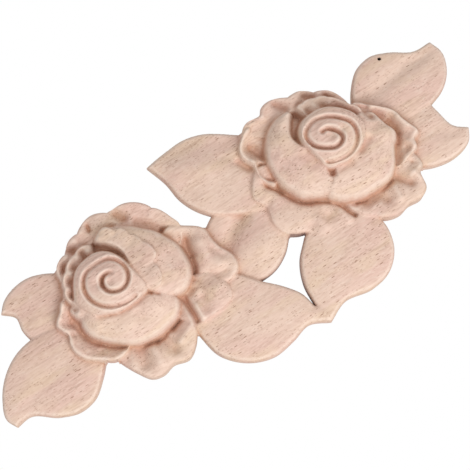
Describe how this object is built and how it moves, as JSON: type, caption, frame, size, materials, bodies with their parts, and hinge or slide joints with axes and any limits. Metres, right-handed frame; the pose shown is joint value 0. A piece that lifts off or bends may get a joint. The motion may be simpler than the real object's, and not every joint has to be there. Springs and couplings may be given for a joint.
{
  "type": "wood applique",
  "caption": "Flat-backed carved wooden applique for furniture or a wall, a long spray of open roses with spiral hearts set among pointed leaves.",
  "frame": {"origin": "on the flat back face, behind the middle leaf, about halfway along and halfway across", "axes": "+X along the length, +Y out of the flat back towards what the applique is fixed to, so the carving faces -Y, and +Z across the width"},
  "size_m": [0.2004, 0.0196, 0.0832],
  "materials": {
    "bare_wood": "unfinished, sanded, matte"
  },
  "bodies": {
    "root": {"applique": "bare_wood"}
  },
  "joints": []
}
